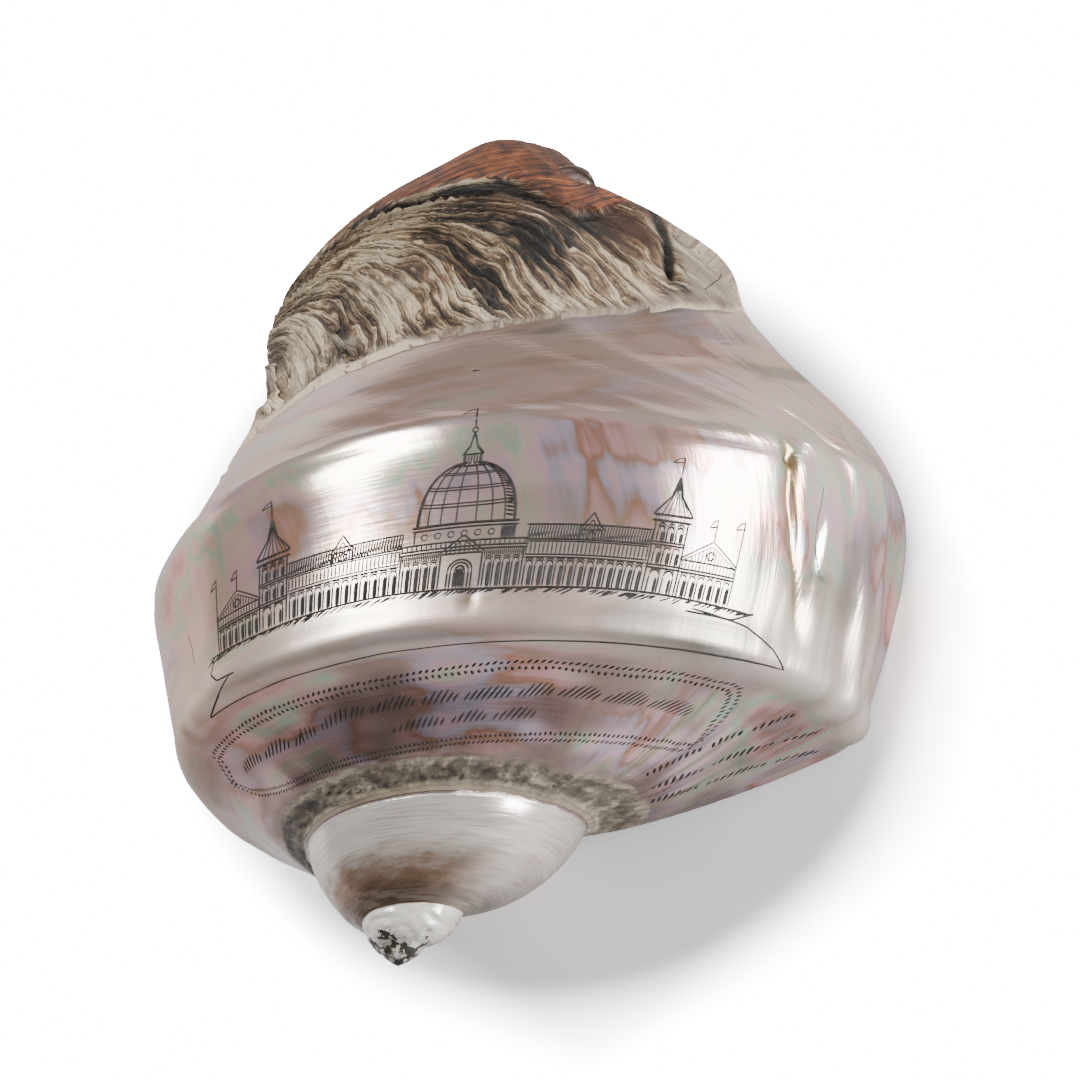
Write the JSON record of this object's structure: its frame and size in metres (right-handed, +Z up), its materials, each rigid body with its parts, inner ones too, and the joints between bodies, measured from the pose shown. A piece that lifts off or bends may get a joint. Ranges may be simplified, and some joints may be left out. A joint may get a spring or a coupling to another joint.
{
  "type": "engraved turban shell",
  "caption": "Large polished sea snail shell with a short spire, two keels, an open mouth and an engraved side band, lying on its mouth.",
  "frame": {"origin": "on the surface that the shell lies on, under the middle of its bounding box", "axes": "+Z up; +Y from the spire's tip towards the base, along the coiling axis seen from above; +X towards the mouth's outer lip"},
  "size_m": [0.1502, 0.1806, 0.1094],
  "materials": {
    "nacre": "polished mother of pearl, with the rough growth layer left on the base"
  },
  "bodies": {
    "root": {"turban_shell": "nacre"}
  },
  "joints": []
}
